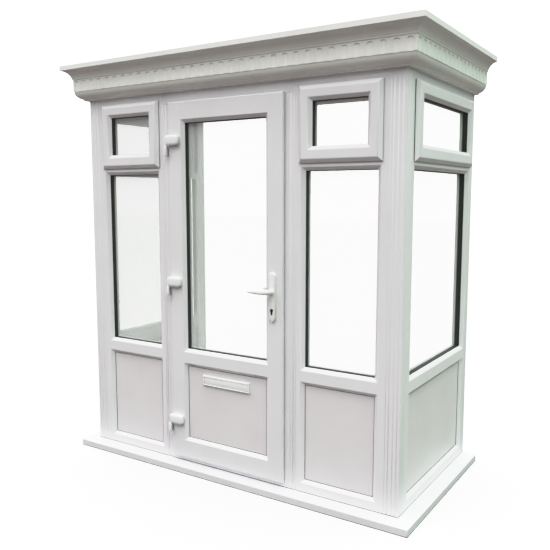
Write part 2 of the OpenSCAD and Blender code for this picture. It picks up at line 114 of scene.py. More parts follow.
by_height = ramp(parts.outputs["Z"], [(0.0, (0.10, 0.10, 0.103)), (0.30, (0.13, 0.13, 0.133)),
                                      (0.45, (0.30, 0.30, 0.305)), (0.62, (0.88, 0.88, 0.88)), (1.0, (1, 1, 1))])
by_side = ramp(parts.outputs["X"], [(0.0, (1.0, 0.99, 0.985)), (0.75, (0.66, 0.745, 0.68))])
tint = nodes.new("ShaderNodeMix")
tint.data_type, tint.blend_type = "RGBA", "MULTIPLY"
tint.inputs["Factor"].default_value = 1.0
links.new(by_height, tint.inputs["A"])
links.new(by_side, tint.inputs["B"])
garden = nodes.new("ShaderNodeMix")
garden.data_type, garden.blend_type = "RGBA", "ADD"
garden.inputs["Factor"].default_value = 1.0
links.new(tint.outputs["Result"], garden.inputs["A"])
links.new(ramp(parts.outputs["X"], [(0.2, (0, 0, 0)), (0.8, (0.080, 0.112, 0.088))]), garden.inputs["B"])
links.new(garden.outputs["Result"], light.inputs["Color"])
light.inputs["Strength"].default_value = sky_strength
backdrop, direct, either = (nodes.new("ShaderNode" + kind) for kind in ("Background", "LightPath", "MixShader"))
backdrop.inputs["Strength"].default_value = backdrop_strength
links.new(direct.outputs["Is Camera Ray"], either.inputs["Fac"])
links.new(light.outputs[0], either.inputs[1])
links.new(backdrop.outputs[0], either.inputs[2])
links.new(either.outputs[0], nodes["World Output"].inputs["Surface"])
print("sky strength", light.inputs["Strength"].default_value)

# %% [markdown]
# ## The floor
# A plain pale floor, which isn't part of the porch. Seen directly it is near white. The light that it throws back
# is that of a darker paving, so that the undersides of the mouldings stay in shade as they do out of doors.

# %% Lay the floor
floor_half = 40
bm = bmesh.new()
bmesh.ops.create_grid(bm, x_segments=1, y_segments=1, size=floor_half)
floor_mesh = bpy.data.meshes.new("floor")
bm.to_mesh(floor_mesh)
bm.free()
floor = bpy.data.objects.new("floor", floor_mesh)
bpy.context.collection.objects.link(floor)
paving = bpy.data.materials.new("pale_floor")
paving.use_nodes = True
nodes, links = paving.node_tree.nodes, paving.node_tree.links
nodes.remove(nodes["Principled BSDF"])
seen, thrown = nodes.new("ShaderNodeBsdfDiffuse"), nodes.new("ShaderNodeBsdfDiffuse")
seen.inputs["Color"].default_value = (0.93, 0.93, 0.93, 1)
thrown.inputs["Color"].default_value = (0.125, 0.110, 0.108, 1)
ray, choose = nodes.new("ShaderNodeLightPath"), nodes.new("ShaderNodeMixShader")
links.new(ray.outputs["Is Camera Ray"], choose.inputs["Fac"])
links.new(thrown.outputs[0], choose.inputs[1])
links.new(seen.outputs[0], choose.inputs[2])
links.new(choose.outputs[0], nodes["Material Output"].inputs["Surface"])
floor.data.materials.append(paving)

# %% [markdown]
# ## Extruded white plastic
# Porch frames are extruded: molten plastic is pushed through a die and pulled off as one long bar. The surface is
# smooth and half glossy, with very faint lines along the pull and a slight ripple across it, and it picks up a
# little dust. One builder makes this family of finishes. It reads Object coordinates, which are metres here, so a
# scale of 260 means features of about 4 mm, and a scale of 5 means soft clouds of about 20 cm.

# %% A builder for smooth coated finishes
line_scale, cloud_scale, ripple_height = 260, 5, 0.002


def finish(name, colour, roughness, ripple=0.02, ripple_scale=60, pull=(1, 1, 0.05), dust=0.03, coat=0.0):
    """A hard, smooth finish with faint pull lines, a slight ripple and a little dust."""
    material = bpy.data.materials.new(name)
    material.use_nodes = True
    nodes, links = material.node_tree.nodes, material.node_tree.links
    shader = nodes["Principled BSDF"]
    shader.inputs["Coat Weight"].default_value = coat
    shader.inputs["IOR"].default_value = 1.5
    place, stretch = nodes.new("ShaderNodeTexCoord"), nodes.new("ShaderNodeMapping")
    stretch.inputs["Scale"].default_value = pull
    links.new(place.outputs["Object"], stretch.inputs["Vector"])

    def noise(vector, scale, detail):
        made = nodes.new("ShaderNodeTexNoise")
        made.inputs["Scale"].default_value = scale
        made.inputs["Detail"].default_value = detail
        links.new(vector, made.inputs["Vector"])
        return made.outputs["Fac"]

    lines = noise(stretch.outputs["Vector"], line_scale, 3)
    clouds = noise(place.outputs["Object"], cloud_scale, 4)
    waves = noise(stretch.outputs["Vector"], ripple_scale, 2)
    tone = nodes.new("ShaderNodeValToRGB")
    tone.color_ramp.elements[0].position, tone.color_ramp.elements[1].position = 0.3, 0.7
    tone.color_ramp.elements[0].color = (*[c * (1 - dust) for c in colour], 1)
    tone.color_ramp.elements[1].color = (*colour, 1)
    links.new(clouds, tone.inputs["Fac"])
    links.new(tone.outputs["Color"], shader.inputs["Base Color"])
    gloss = nodes.new("ShaderNodeMapRange")
    gloss.inputs["To Min"].default_value = roughness - 0.05
    gloss.inputs["To Max"].default_value = roughness + 0.07
    links.new(lines, gloss.inputs["Value"])
    links.new(gloss.outputs["Result"], shader.inputs["Roughness"])
    bump = nodes.new("ShaderNodeBump")
    bump.inputs["Strength"].default_value = ripple
    bump.inputs["Distance"].default_value = ripple_height
    links.new(waves, bump.inputs["Height"])
    links.new(bump.outputs["Normal"], shader.inputs["Normal"])
    return material


# %% Mix the white finishes
even, along_x = (1, 1, 1), (0.06, 1, 1)
white_plastic = finish("white_plastic", (0.83, 0.812, 0.842), 0.30, ripple=0.05)
panel_skin = finish("panel_skin", (0.80, 0.768, 0.792), 0.36, ripple=0.10, ripple_scale=90, pull=even)
gel_coat = finish("gel_coat", (0.90, 0.895, 0.88), 0.34, ripple=0.10, ripple_scale=120, pull=even, dust=0.05)
powder_coat = finish("powder_coat", (0.88, 0.88, 0.885), 0.26, ripple=0.12, ripple_scale=700, pull=even,
                     dust=0.01, coat=0.3)
print("white finishes", [m.name for m in (white_plastic, panel_skin, gel_coat, powder_coat)])

# %% [markdown]
# ## Rubber, glass, steel and timber
# The sealed units have black spacer bars and black rubber seals, the glass is nearly clear with a faint green in
# its thickness, the lock's ends are dark steel, partly tarnish and partly painted shade, other steel is satin, and
# the timber behind the roof is sawn softwood. Glass is made with the Alpha of one ordinary shader: most of the light
# goes straight through, and the rest is near-white colour with a gloss. On the inner sheet that part is large, a
# painted reflection of a bright sky.

# %% Mix the other finishes
# This black finish is rubber for the seals, and also paints the shade line at the frames' foot and the contact shadow
# under the cill's nose
black_rubber_and_painted_shadow = finish("black_rubber_and_painted_shadow", (0.030, 0.031, 0.030), 0.62, ripple=0.3, ripple_scale=400, dust=0.3)
spacer_black = finish("spacer_black", (0.040, 0.040, 0.038), 0.5, ripple=0.2, ripple_scale=500, dust=0.2)
satin_steel = finish("satin_steel", (0.55, 0.55, 0.56), 0.32, ripple=0.25, ripple_scale=500, dust=0.1)
satin_steel.node_tree.nodes["Principled BSDF"].inputs["Metallic"].default_value = 1.0
# Darkened steel for the lock: partly tarnish, partly painted shade of the keyhole
dark_steel_tarnish_and_painted_shade = finish("dark_steel_tarnish_and_painted_shade", (0.10, 0.095, 0.09), 0.45, ripple=0.25, ripple_scale=500, dust=0.2)
dark_steel_tarnish_and_painted_shade.node_tree.nodes["Principled BSDF"].inputs["Metallic"].default_value = 0.8
clear_glass = finish("clear_glass", (0.95, 0.97, 0.96), 0.08, ripple=0.02, ripple_scale=3, pull=even, dust=0.01)
# Inner sheet: a 28% near-white veil, a painted reflection of a bright sky
glass_with_painted_reflection = finish("glass_with_painted_reflection", (0.93, 0.96, 0.94), 0.10, ripple=0.02, ripple_scale=3, pull=even, dust=0.02)
for glass, veil in ((clear_glass, 0.02), (glass_with_painted_reflection, 0.28)):
    glass.node_tree.nodes["Principled BSDF"].inputs["Alpha"].default_value = veil
    glass.node_tree.nodes["Principled BSDF"].inputs["IOR"].default_value = 1.52
sawn_timber = finish("sawn_timber", (0.55, 0.40, 0.24), 0.75, ripple=0.6, ripple_scale=90, pull=along_x, dust=0.35)
roof_gel = finish("roof_gel", (0.50, 0.51, 0.52), 0.55, ripple=0.5, ripple_scale=240, pull=even, dust=0.15)
print("glass, rubber, steel, timber and roof finishes mixed")

# %% [markdown]
# ## From mesh to piece
# Every finished mesh becomes an object that rides on one body of the porch: the porch itself, the door, the lever
# or the letter flap. Narrow strips, such as rounded edges, are shaded smooth. Large flat faces stay flat, so that
# no false gradient runs across them.

# %% A helper that finishes a piece
def piece(name, bm, body, material, smooth_below=None, stands_for=()):
    """Turns a bmesh into an object that rides on a body, with the given finish."""
    mesh = bpy.data.meshes.new(name)
    if smooth_below is not None:
        for face in bm.faces:
            face.smooth = True
        for edge in bm.edges:
            if edge.is_manifold and edge.calc_face_angle(0) > math.radians(smooth_below):
                edge.smooth = False
    bm.to_mesh(mesh)
    bm.free()
    mesh.materials.append(material)
    obj = bpy.data.objects.new(name, mesh)
    bpy.context.collection.objects.link(obj)
    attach(obj, body)
    if stands_for:
        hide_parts(*stands_for)
    print(name, len(mesh.polygons), "faces")


# %% [markdown]
# ## Rounded arrises
# On a real bar no edge is sharp: the die rounds it by a millimetre or two, and that thin strip is what catches the
# light. The drawn node has the right faces but knife edges. A copy of it is merged, its flat faces are joined, and
# the edges that lie in its outer planes are bevelled. Edges inside the glazing rebates are left, because nobody
# sees them and a bevel there would run into the next one. Most nodes are white plastic and ride on the porch, so
# those are the helper's defaults.

# %% A helper that rounds a drawn node's edges
weld, flatness, in_plane = 0.00002, math.radians(0.4), 0.0003


def rounded(node, radius=0.002, planes=None, steps=3, sharpest=28, body="porch",
            material=white_plastic):
    """A copy of a drawn node with rounded edges. planes lists (axis, value) pairs where an edge must lie."""
    bm = bmesh.new()
    bm.from_mesh(frame["nodes"][node].data)
    bmesh.ops.remove_doubles(bm, verts=bm.verts, dist=weld)
    bmesh.ops.dissolve_limit(bm, angle_limit=flatness, verts=bm.verts, edges=bm.edges)
    edges = []
    for edge in bm.edges:
        if not edge.is_manifold or edge.calc_face_angle(0) < math.radians(sharpest):
            continue
        if planes and not any(all(abs(v.co[axis] - value) < in_plane for v in edge.verts) for axis, value in planes):
            continue
        edges.append(edge)
    made = bmesh.ops.bevel(bm, geom=edges, offset=radius, offset_type="OFFSET", segments=steps, profile=0.5,
                           affect="EDGES", clamp_overlap=True, material=-1)
    for face in made["faces"]:
        face.smooth = True
    piece("fine_" + node, bm, body, material, stands_for=(node,))


# %% Round the frames, posts and cills
wall_low, wall_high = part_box("frame_front_right")
front_y, back_y = wall_low.y, wall_high.y
side_low, side_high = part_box("frame_side_right")
side_in, side_x = side_low.x, side_high.x
small_radius, jamb_radius, cill_radius = 0.0012, 0.0015, 0.003
for hand, sign in (("left", -1), ("right", 1)):
    rounded("frame_front_" + hand, planes=[(1, front_y), (1, back_y)])
    rounded("frame_side_" + hand, planes=[(0, sign * side_x), (0, sign * side_in)])
    rounded("corner_post_" + hand, small_radius, sharpest=45, steps=2)
    rounded("door_jamb_" + hand, small_radius, sharpest=45, steps=2)
    rounded("cill_" + hand, cill_radius)
rounded("door_head")
rounded("door_threshold")
rounded("cill_front", cill_radius)
rounded("wall_jambs", jamb_radius, sharpest=45)

# %% [markdown]
# ## Vents
# A top-hung vent stands proud of the frame, with a broad bevel all round its outer edge and the usual slope down to
# the glass. The same rounding serves, for the edges in its outermost and innermost planes. The door's leaf is made
# in the same way.

# %% Round the vents and the door leaf
vent_low, vent_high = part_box("vent_front_right")
vent_radius = 0.0025
for hand in ("left", "right"):
    low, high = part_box("vent_front_" + hand)
    rounded("vent_front_" + hand, vent_radius, planes=[(1, low.y), (1, high.y)])
    low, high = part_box("vent_side_" + hand)
    rounded("vent_side_" + hand, vent_radius, planes=[(0, low.x), (0, high.x)])
leaf_low, leaf_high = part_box("door_leaf")
rounded("door_leaf", planes=[(1, leaf_low.y), (1, leaf_high.y)], body="door")

# %% [markdown]
# ## Sealed glass units
# Each pane is two sheets of glass with a black spacer bar between them, running round just inside the frame's lip.
# Seen at a slant, the bar on the far side shows as a dark band through the glass. The side walls are drawn like the
# front, turned or mirrored, so each unit is made once in the front's plane and moved by a matrix.

# %% The places of the walls
on_front = Matrix.Translation((0, front_y, 0))
on_right = Matrix.Translation((side_x, front_y, 0)) @ Matrix.Rotation(math.pi / 2, 4, "Z")
mirrored = Matrix.Diagonal((-1, 1, 1, 1))
stile, slope, glass_depth, glass_thick = 0.045, 0.018, 0.018, 0.028
front_x0, front_x1 = wall_low.x + stile, wall_high.x - stile
side_u0, side_u1 = side_low.y - front_y + stile, side_high.y - front_y - stile
pane_z0, pane_z1 = 0.678, 1.692
vent_lap, vent_face, vent_foot, vent_proud = 0.010, 0.056, 0.004, 0.022
vent_z0, vent_z1 = vent_low.z + vent_face + vent_foot, vent_high.z - vent_face
print("front opening", round(front_x0, 3), round(front_x1, 3), "side opening", round(side_u0, 3), round(side_u1, 3))


# %% A slab and a ring
def slab(bm, x0, x1, y0, y1, z0, z1, bevel=0.0):
    """A box with an optional small bevel."""
    made = bmesh.ops.create_cube(bm, size=1)["verts"]
    bmesh.ops.scale(bm, vec=(x1 - x0, y1 - y0, z1 - z0), verts=made)
    bmesh.ops.translate(bm, vec=((x0 + x1) / 2, (y0 + y1) / 2, (z0 + z1) / 2), verts=made)
    if bevel:
        edges = list({edge for vert in made for edge in vert.link_edges})
        bmesh.ops.bevel(bm, geom=edges, offset=bevel, segments=2, profile=0.5, affect="EDGES", material=-1)


def upright_face(bm, x0, x1, y, z0, z1):
    """One rectangular face that stands in the front's plane."""
    made = bmesh.ops.create_grid(bm, x_segments=1, y_segments=1, size=0.5)["verts"]
    bmesh.ops.rotate(bm, verts=made, matrix=Matrix.Rotation(math.pi / 2, 3, "X"))
    bmesh.ops.scale(bm, vec=(x1 - x0, 1, z1 - z0), verts=made)
    bmesh.ops.translate(bm, vec=((x0 + x1) / 2, y, (z0 + z1) / 2), verts=made)
    return made[0].link_faces[0]


def pushed(bm, faces, distance):
    """Extrudes faces by a distance along Y, and returns the new ones."""
    geom = bmesh.ops.extrude_face_region(bm, geom=faces)["geom"]
    bmesh.ops.translate(bm, vec=(0, distance, 0), verts=[g for g in geom if isinstance(g, bmesh.types.BMVert)])
    return [g for g in geom if isinstance(g, bmesh.types.BMFace)]


def ring(bm, x0, x1, y0, y1, z0, z1, width):
    """A rectangular ring with mitred corners: a face is inset, its middle is removed and the rest thickened."""
    middle = upright_face(bm, x0, x1, y0, z0, z1)
    around = bmesh.ops.inset_individual(bm, faces=[middle], thickness=width, use_even_offset=True)["faces"]
    bmesh.ops.delete(bm, geom=[middle], context="FACES_ONLY")
    pushed(bm, around, y1 - y0)
    bmesh.ops.recalc_face_normals(bm, faces=bm.faces)


# %% Glaze the walls
def moved(target, matrix, build):
    """Builds a part in the front's plane, moves it to its wall and adds it to the target."""
    part = bmesh.new()
    build(part)
    bmesh.ops.transform(part, matrix=matrix, verts=part.verts)
    bmesh.ops.recalc_face_normals(part, faces=part.faces)
    done = bpy.data.meshes.new("part")
    part.to_mesh(done)
    part.free()
    target.from_mesh(done)
    bpy.data.meshes.remove(done)


sheet, sheet_bevel, hair = 0.004, 0.0005, 0.0001


def glaze(name, body, matrices, openings, node):
    """An outer sheet, an inner sheet with a painted reflection and a spacer bar for each opening, moved by each
    matrix.
    """
    outer, inner, bars = bmesh.new(), bmesh.new(), bmesh.new()
    edge, lip = 0.003, slope + 0.0003
    for matrix in matrices:
        for x0, x1, z0, z1, proud in openings:
            y = glass_depth - proud
            back = y + glass_thick
            moved(outer, matrix, lambda part: slab(part, x0 + lip, x1 - lip, y, y + sheet, z0 + lip, z1 - lip,
                                                   sheet_bevel))
            moved(inner, matrix, lambda part: slab(part, x0 + lip, x1 - lip, back - sheet, back, z0 + lip, z1 - lip,
                                                   sheet_bevel))
            moved(bars, matrix, lambda part: ring(part, x0 + edge, x1 - edge, y + hair, back, z0 + edge, z1 - edge,
                                                  lip - edge))
    piece("panes_" + name, outer, body, clear_glass, stands_for=(node,))
    piece("inner_panes_" + name, inner, body, glass_with_painted_reflection)
    piece("spacers_" + name, bars, body, spacer_black)


front_openings = [(front_x0, front_x1, pane_z0, pane_z1, 0),
                  (vent_low.x + vent_face, vent_high.x - vent_face, vent_z0, vent_z1, vent_proud)]
side_openings = [(side_u0, side_u1, pane_z0, pane_z1, 0),
                 (side_u0 - vent_lap + vent_face, side_u1 + vent_lap - vent_face, vent_z0, vent_z1, vent_proud)]
glaze("front", "porch", [on_front, mirrored @ on_front], front_openings, "glass_front")
glaze("right", "porch", [on_right], side_openings, "glass_side_right")
glaze("left", "porch", [mirrored @ on_right], side_openings, "glass_side_left")
leaf_stile, leaf_head, leaf_pane_z0 = 0.089, 0.095, 0.685
glaze("door", "door", [on_front], [(leaf_low.x + leaf_stile, leaf_high.x - leaf_stile, leaf_pane_z0,
                                    leaf_high.z - leaf_head, vent_proud)], "door_glass")

# %% [markdown]
# ## The cornice
# On the real roof edge this is one moulding, drawn through a die or laid up in a mould and mitred at the corners:
# a plain lip on top, a hollow, a band of small upright scoops, and a round that returns to the wall. The outline is
# written once as points (outwards, up). A flat grid has one row for each of them and a column for every few
# millimetres of length, so that moving each row to its point of the outline bends the grid into the moulding. The
# same pass presses the scoops into the band's rows. The corners are then cut at 45 degrees and the ends at the
# house square.

# %% Write the moulding's outline
roof_low, roof_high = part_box("cornice_front")
wall_top = wall_high.z
lip_out = front_y - roof_low.y
band_out, band_foot, band_top = 0.066, 0.030, 0.102
seat, deck_level, rim_in = 0.040, roof_high.z - wall_top - 0.018, lip_out - 0.024


def arc(cx, cz, radius, start, end, steps):
    """Points on an arc, from one angle to another in degrees."""
    turn = [math.radians(start + (end - start) * i / steps) for i in range(steps + 1)]
    return [(cx + radius * math.cos(a), cz + radius * math.sin(a)) for a in turn]


round_part = [(0.0, -0.018), (0.022, -0.018), (0.0235, -0.0165), (0.0235, -0.0125), (0.026, -0.0105)]
round_part += arc(0.0125, 0.0405, 0.0525, -70, -15, 9)
groove = [(0.0640, 0.0285), (0.0605, 0.0298), (0.0605, 0.0315), (0.0650, 0.0325)]
flute_half, flute_head, flute_depth = 0.0158, band_top - 0.0075, 0.0052
band_rows = [(band_out, 0.0345 + i * 0.0063) for i in range(7)]
band_rows += [(band_out, 0.0750 + i * 0.00085) for i in range(25)] + [(band_out, 0.0990)]
hollow = [(0.0665, 0.1012), (0.0700, 0.1030), (0.0705, 0.1045), (0.0705, 0.1090)]
hollow += arc(0.1235, 0.0990, 0.0525, 166, 104, 9)
lip_part = [(0.1118, 0.1510), (0.1128, 0.1518), (0.1180, 0.1522), (lip_out, 0.1532), (lip_out, 0.1782),
            (lip_out - 0.0018, 0.1800), (rim_in + 0.002, 0.1800),
            (rim_in, 0.1785), (rim_in, deck_level)]
outline = round_part + groove + band_rows + hollow + lip_part + [(-seat, deck_level), (-seat, 0.0), (0.0, 0.0)]
outline.append(outline[0])
print("outline has", len(outline), "points")

# %% Cut the three lengths of moulding
slices, pitch_wanted, join = 22, 0.0625, 1e-6


def scoop(u, height):
    """Depth of the band's scoops at u, in pitches from the first one's edge, and at a height above the wall.
    A scoop is deepest along its middle, ends in a round arch on top, and fades towards the foot of the band."""
    across = abs((u % 1) - 0.5) * pitch / flute_half
    over = flute_head - height
    if across >= 1 or over <= 0:
        return 0.0
    arch = flute_half * (1 - math.sqrt(1 - across ** 2))
    if over <= arch:
        return 0.0
    fade = 1 - 0.8 * min(1, over / (flute_head - band_foot))
    return flute_depth * fade * min(1, (over - arch) / 0.0012) * (1 - 0.75 * across ** 2)


def cornice(name, matrix, start, end, first, cuts, node):
    """One length of cornice in the front's plane, from start to end, trimmed by mitre planes and moved."""
    bm = bmesh.new()
    count = math.ceil((end - start) * slices / pitch)
    bmesh.ops.create_grid(bm, x_segments=count, y_segments=len(outline) - 1, size=0.5)
    for vert in bm.verts:
        x = start + (vert.co.x + 0.5) * count * pitch / slices
        out, up = outline[round((vert.co.y + 0.5) * (len(outline) - 1))]
        if out == band_out:
            out -= scoop((x - first) / pitch, up)
        vert.co = (x, -out, wall_top + up)
    for point, normal in cuts:
        bmesh.ops.bisect_plane(bm, geom=bm.verts[:] + bm.edges[:] + bm.faces[:], dist=join, plane_co=point,
                               plane_no=normal, clear_outer=True)
    bmesh.ops.remove_doubles(bm, verts=bm.verts, dist=join)
    bmesh.ops.holes_fill(bm, edges=[edge for edge in bm.edges if edge.is_boundary], sides=0)
    bmesh.ops.transform(bm, matrix=matrix, verts=bm.verts)
    bmesh.ops.recalc_face_normals(bm, faces=bm.faces)
    piece(name, bm, "porch", gel_coat, smooth_below=20, stands_for=(node,))


half_width, depth = side_x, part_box("cornice_right")[1].y - front_y
front_run, side_run = 2 * (half_width + band_out), depth + band_out
pitch = front_run / round(front_run / pitch_wanted)
cornice("cornice_over_front", on_front, -half_width - lip_out, half_width + lip_out, -half_width - band_out,
        [((half_width, 0, 0), (1, 1, 0)), ((-half_width, 0, 0), (-1, 1, 0))], "cornice_front")
pitch = side_run / round(side_run / pitch_wanted)
for hand, matrix in (("right", on_right), ("left", mirrored @ on_right)):
    cornice("cornice_over_" + hand, matrix, -lip_out, depth + hair, -band_out,
            [((0, 0, 0), (-1, 1, 0)), ((depth, 0, 0), (1, 0, 0))], "cornice_" + hand)

# %% [markdown]
# ## Seals round the panels
# A flat infill panel sits behind the slope of its frame, on a thin black seal. Only its edge shows, as a fine dark
# line where the slope ends. Each one is a mitred ring, made in the front's plane and moved to its wall.

# %% Seal the panels
seal_lap, seal_proud, seal_width = 0.0003, 0.0015, 0.0021


def seals(name, body, matrices, openings):
    """A thin ring at the foot of the slope of each opening."""
    whole = bmesh.new()
    for matrix in matrices:
        for x0, x1, z0, z1, proud in openings:
            y, inset = glass_depth - proud, slope - seal_lap
            moved(whole, matrix, lambda part: ring(part, x0 + inset, x1 - inset, y - seal_proud, y - hair, z0 + inset,
                                                   z1 - inset, seal_width))
    piece("panel_seals_" + name, whole, body, black_rubber_and_painted_shadow)


rail_z, midrail_z = 0.087, 0.622
seals("front", "porch", [on_front, mirrored @ on_front], [(front_x0, front_x1, rail_z, midrail_z, 0)])
seals("right", "porch", [on_right], [(side_u0, side_u1, rail_z, midrail_z, 0)])
seals("left", "porch", [mirrored @ on_right], [(side_u0, side_u1, rail_z, midrail_z, 0)])
leaf_foot, leaf_panel_z1 = 0.104, 0.623
seals("door", "door", [on_front], [(leaf_low.x + leaf_stile, leaf_high.x - leaf_stile, leaf_low.z + leaf_foot,
                                    leaf_panel_z1, vent_proud)])

# %% [markdown]
# ## The door's weather seal
# Behind the leaf's flange a rubber gasket closes the gap to the frame. From outside it is the dark line beside the
# leaf. It is fixed to the leaf, stops just short of the frame, and so it rides with the door.

# %% Seal the leaf
flange_gap, gasket_in, gasket_deep, gasket_width = 0.005, 0.003, 0.0035, 0.006
flange_back = front_y - flange_gap
bm = bmesh.new()
ring(bm, leaf_low.x + gasket_in, leaf_high.x - gasket_in, flange_back, flange_back + gasket_deep,
     leaf_low.z + gasket_in, leaf_high.z - gasket_in, gasket_width)
piece("leaf_seal", bm, "door", black_rubber_and_painted_shadow)

# %% [markdown]
# ## Bedding line, painted shadow line and joint strips
# The frames are bedded on the cill in dark sealant: the thin dark line all along their foot is partly that joint and
# partly painted shade. Another dark line runs along the foot of the cill's nose: it is a painted contact shadow, as
# the pale floor casts none there. Between the door's jamb and each sidelight two fine round-nosed strips cover the
# joint. All are long thin slabs.

# %% Bed the frames, paint a contact shadow under the cill's nose and cover the joints
foot_z = wall_low.z
nose = front_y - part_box("cill_front")[0].y + 0.0004


def dark_line_round(bm, past, y0, y1, z0, z1):
    """A strip along the front and both sides. On the sides it starts past the corner, by that much."""
    for matrix, u0, u1 in ((on_front, -half_width - past, half_width + past), (on_right, -past, depth),
                           (mirrored @ on_right, -past, depth)):
        before = set(bm.verts)
        slab(bm, u0, u1, y0, y1, z0, z1)
        bmesh.ops.transform(bm, matrix=matrix, verts=[v for v in bm.verts if v not in before])


bm = bmesh.new()
# Dark line at the frames' foot: partly a sealant joint, partly painted shade
dark_line_round(bm, 0, -0.0005, 0.004, foot_z, foot_z + 0.0024)
# Painted contact shadow: a black strip along the foot of the cill's nose
dark_line_round(bm, nose, -nose, -nose + 0.01, 0.0002, 0.0028)
bmesh.ops.recalc_face_normals(bm, faces=bm.faces)
piece("bedding_and_painted_shadow_line", bm, "porch", black_rubber_and_painted_shadow)
strip_places, strip_half, strip_bevel = (0.4225, 0.4340), 0.002, 0.0012
strip_out, strip_in, strip_foot, strip_head = 0.0016, 0.001, 0.001, 0.019
bm = bmesh.new()
for sign in (-1, 1):
    for x in strip_places:
        slab(bm, sign * x - strip_half, sign * x + strip_half, front_y - strip_out, front_y + strip_in,
             foot_z + strip_foot, wall_top - strip_head, strip_bevel)
piece("joint_strips", bm, "porch", white_plastic, smooth_below=60)

# %% [markdown]
# ## Hinges
# A flag hinge on such a door wears a plump plastic cover over its arm, round at both ends, above a slim knuckle
# that is screwed to the jamb. A box with large bevels would do, but bevels that meet on a curve pinch. A sphere
# does it better: when each of its directions is raised to a power below one, the sphere swells towards its box and
# becomes a cushion. The knuckles keep the drawing's shape, with rounded edges.

# %% Cover the hinges
arm_low, arm_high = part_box("hinge_door_parts")
hinge_heights = (0.284, 1.0725, 1.847)
cover_below, cover_above, cover_lap, swelling = 0.023, 0.034, 0.004, (0.42, 0.62, 0.62)


def cushion(bm, low, high, powers):
    """A sphere swollen towards the box between two corners, by one power for each axis."""
    made = bmesh.ops.create_uvsphere(bm, u_segments=40, v_segments=24, radius=1)["verts"]
    for vert in made:
        vert.co = Vector([math.copysign(abs(c) ** power, c) for c, power in zip(vert.co, powers)])
    bmesh.ops.scale(bm, vec=[(b - a) / 2 for a, b in zip(low, high)], verts=made)
    bmesh.ops.translate(bm, vec=[(a + b) / 2 for a, b in zip(low, high)], verts=made)


bm = bmesh.new()
for z in hinge_heights:
    cushion(bm, (arm_low.x, arm_low.y, z - cover_below), (arm_high.x, leaf_low.y + cover_lap, z + cover_above),
            swelling)
bmesh.ops.recalc_face_normals(bm, faces=bm.faces)
piece("hinge_covers", bm, "door", powder_coat, smooth_below=80, stands_for=("hinge_door_parts",))
rounded("hinge_frame_parts", jamb_radius, sharpest=45, steps=2, material=powder_coat)

# %% [markdown]
# ## The handle
# A long backplate with an arched head and a pointed foot carries the lever and the key cylinder. The plate begins
# as a flat disc of many points. Its upper half is lifted and its lower half dropped, which gives a slot shape, and
# the lowest points are drawn into a soft point. Then the face is pushed out again and again, and scaled down a
# little each time, for a pillowed edge. Scaling is used, not inset, because an inset would fold at the point.

# %% Shape the backplates
plate_low, plate_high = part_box("handle_plates")
plate_x, plate_r = (plate_low.x + plate_high.x) / 2, (plate_high.x - plate_low.x) / 2 - 0.001
point_depth, point_power = 0.95, 1.08


def backplate(bm, face_y, out):
    """A pillowed plate on the leaf's face at face_y. out is -1 towards the street and 1 towards the house."""
    made = bmesh.ops.create_circle(bm, cap_ends=True, segments=64, radius=plate_r)["verts"]
    bmesh.ops.rotate(bm, verts=made, matrix=Matrix.Rotation(math.pi / 2, 3, "X"))
    top, foot = plate_high.z - plate_r, plate_low.z + plate_r
    for vert in made:
        side = abs(vert.co.x) / plate_r
        if vert.co.z >= 0:
            vert.co.z += top
        else:
            vert.co.z = foot + plate_r * (point_depth * side ** point_power - 1)
        vert.co.x += plate_x
        vert.co.y = face_y
    middle, half = (plate_low.z + plate_high.z) / 2, (plate_high.z - plate_low.z) / 2
    cap, width = made[0].link_faces[0], 0.0
    for step, rise in ((0.0, 0.0062), (0.0008, 0.0020), (0.0016, 0.0018), (0.0026, 0.0013), (0.0030, 0.0007)):
        raised = pushed(bm, [cap], out * rise)[0]
        if cap.is_valid and width:
            bmesh.ops.delete(bm, geom=[cap], context="FACES_ONLY")
        cap = raised
        across, along = (plate_r - width - step) / (plate_r - width), (half - width - step) / (half - width)
        bmesh.ops.scale(bm, vec=(across, 1, along), space=Matrix.Translation((-plate_x, 0, -middle)), verts=cap.verts)
        width += max(step, 1e-9)
    bmesh.ops.remove_doubles(bm, verts=bm.verts, dist=1e-6)
    bmesh.ops.recalc_face_normals(bm, faces=bm.faces)


bm = bmesh.new()
backplate(bm, leaf_low.y, -1)
backplate(bm, leaf_high.y, 1)
piece("backplates", bm, "door", powder_coat, smooth_below=50, stands_for=("handle_plates",))

# %% [markdown]
# ## The levers
# A lever is a round neck that turns through a right angle into a long blade, flatter towards its tip. That is a
# loft: rings of the same number of points are placed one after another, each with its own size and direction, and
# bridge_loops joins every pair. Both ends are closed with a face.

# %% A loft through rings
def loft(bm, rings, segments=24):
    """Joins rings, each given as (centre, forward, up, half width, half height), and closes the ends."""
    previous = None
    for centre, forward, up, wide, tall in rings:
        forward, up = Vector(forward).normalized(), Vector(up).normalized()
        across = up.cross(forward).normalized()
        up = forward.cross(across)
        place = Matrix((across, up, forward)).transposed().to_4x4()
        place.translation = Vector(centre)
        made = bmesh.ops.create_circle(bm, segments=segments, radius=1,
                                       matrix=place @ Matrix.Diagonal((wide, tall, 1, 1)))["verts"]
        loop = [e for e in {e for v in made for e in v.link_edges} if all(v in made for v in e.verts)]
        if previous:
            bmesh.ops.bridge_loops(bm, edges=previous + loop)
        previous = loop
    bmesh.ops.holes_fill(bm, edges=[e for e in bm.edges if e.is_boundary], sides=0)
    bmesh.ops.recalc_face_normals(bm, faces=bm.faces)


